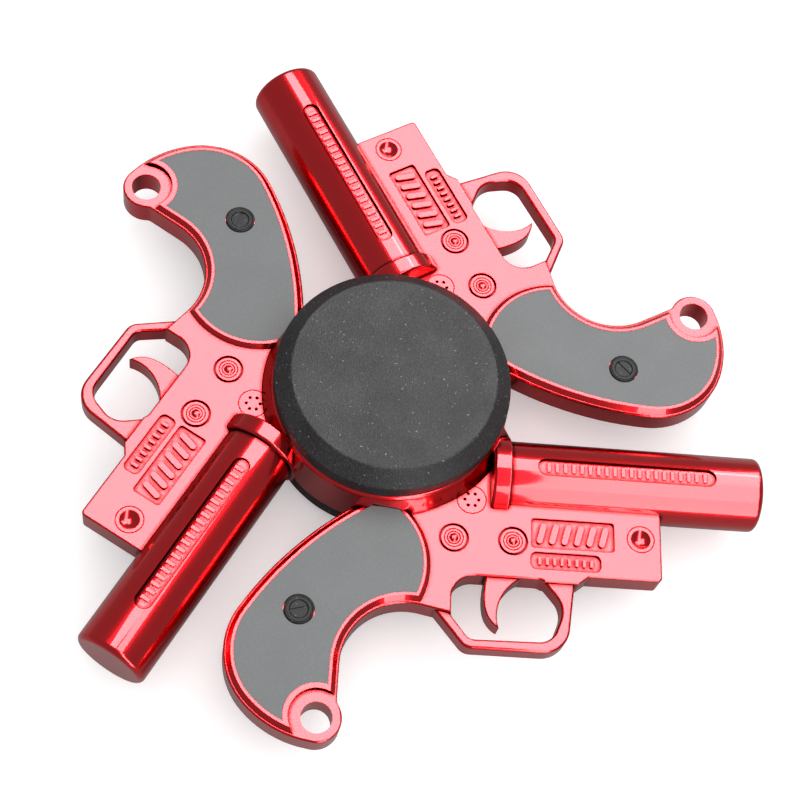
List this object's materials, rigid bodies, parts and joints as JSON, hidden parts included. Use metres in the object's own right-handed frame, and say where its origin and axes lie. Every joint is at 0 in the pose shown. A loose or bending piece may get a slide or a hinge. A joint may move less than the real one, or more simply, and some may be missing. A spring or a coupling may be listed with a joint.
{
  "type": "fidget spinner",
  "caption": "Three-armed fidget spinner with toy flare-gun arms, grey grip panels and round finger caps on a ball bearing.",
  "frame": {"origin": "on the spin axis, at the flat face of the bottom finger cap", "axes": "+Z along the spin axis towards the top cap; +X close to the line of the first gun's barrel, which falls 3 degrees towards -Y"},
  "size_m": [0.0738, 0.0803, 0.0145],
  "materials": {
    "red_plating": "glossy translucent red over bright plating",
    "grip_panel": "flat grey",
    "grip_screw": "black enamel",
    "bearing_steel": "ground and polished",
    "shield_steel": "stamped",
    "cage_nylon": "natural nylon",
    "cap_plastic": "fine spark-eroded grain"
  },
  "bodies": {
    "finger_hold": {"top_cap": "cap_plastic", "bottom_cap": "cap_plastic", "bearing_inner_ring": "bearing_steel"},
    "spinner": {"hub_ring": "red_plating", "gun_arm_1": "red_plating", "gun_arm_2": "red_plating", "gun_arm_3": "red_plating", "grip_panel_front_1": "grip_panel", "grip_panel_front_2": "grip_panel", "grip_panel_front_3": "grip_panel", "grip_panel_back_1": "grip_panel", "grip_panel_back_2": "grip_panel", "grip_panel_back_3": "grip_panel", "grip_screw_front_1": "grip_screw", "grip_screw_front_2": "grip_screw", "grip_screw_front_3": "grip_screw", "grip_screw_back_1": "grip_screw", "grip_screw_back_2": "grip_screw", "grip_screw_back_3": "grip_screw", "bearing_outer_ring": "bearing_steel", "bearing_shield_top": "shield_steel", "bearing_shield_bottom": "shield_steel", "bearing_snap_ring_top": "shield_steel", "bearing_snap_ring_bottom": "shield_steel"},
    "cage": {"bearing_cage": "cage_nylon"},
    "ball_1": {"bearing_ball_1": "bearing_steel"},
    "ball_2": {"bearing_ball_2": "bearing_steel"},
    "ball_3": {"bearing_ball_3": "bearing_steel"},
    "ball_4": {"bearing_ball_4": "bearing_steel"},
    "ball_5": {"bearing_ball_5": "bearing_steel"},
    "ball_6": {"bearing_ball_6": "bearing_steel"},
    "ball_7": {"bearing_ball_7": "bearing_steel"}
  },
  "joints": [
    {"name": "frame_spin", "type": "hinge", "parent": "finger_hold", "child": "spinner", "pos_m": [0, 0, 0.00725], "axis": [0, 0, 1], "continuous": true},
    {"name": "cage_spin", "type": "hinge", "parent": "finger_hold", "child": "cage", "pos_m": [0, 0, 0.00725], "axis": [0, 0, 1], "continuous": true},
    {"name": "ball_spin_1", "type": "hinge", "parent": "cage", "child": "ball_1", "pos_m": [0.0075, 0, 0.00725], "axis": [0, 0, 1], "continuous": true},
    {"name": "ball_spin_2", "type": "hinge", "parent": "cage", "child": "ball_2", "pos_m": [0.00468, 0.00586, 0.00725], "axis": [0, 0, 1], "continuous": true},
    {"name": "ball_spin_3", "type": "hinge", "parent": "cage", "child": "ball_3", "pos_m": [-0.00167, 0.00731, 0.00725], "axis": [0, 0, 1], "continuous": true},
    {"name": "ball_spin_4", "type": "hinge", "parent": "cage", "child": "ball_4", "pos_m": [-0.00676, 0.00325, 0.00725], "axis": [0, 0, 1], "continuous": true},
    {"name": "ball_spin_5", "type": "hinge", "parent": "cage", "child": "ball_5", "pos_m": [-0.00676, -0.00325, 0.00725], "axis": [0, 0, 1], "continuous": true},
    {"name": "ball_spin_6", "type": "hinge", "parent": "cage", "child": "ball_6", "pos_m": [-0.00167, -0.00731, 0.00725], "axis": [0, 0, 1], "continuous": true},
    {"name": "ball_spin_7", "type": "hinge", "parent": "cage", "child": "ball_7", "pos_m": [0.00468, -0.00586, 0.00725], "axis": [0, 0, 1], "continuous": true}
  ],
  "couplings": [
    {"joint": "cage_spin", "follows": "frame_spin", "ratio": 0.6323},
    {"joint": "ball_spin_1", "follows": "frame_spin", "ratio": 1.7579},
    {"joint": "ball_spin_2", "follows": "frame_spin", "ratio": 1.7579},
    {"joint": "ball_spin_3", "follows": "frame_spin", "ratio": 1.7579},
    {"joint": "ball_spin_4", "follows": "frame_spin", "ratio": 1.7579},
    {"joint": "ball_spin_5", "follows": "frame_spin", "ratio": 1.7579},
    {"joint": "ball_spin_6", "follows": "frame_spin", "ratio": 1.7579},
    {"joint": "ball_spin_7", "follows": "frame_spin", "ratio": 1.7579}
  ]
}
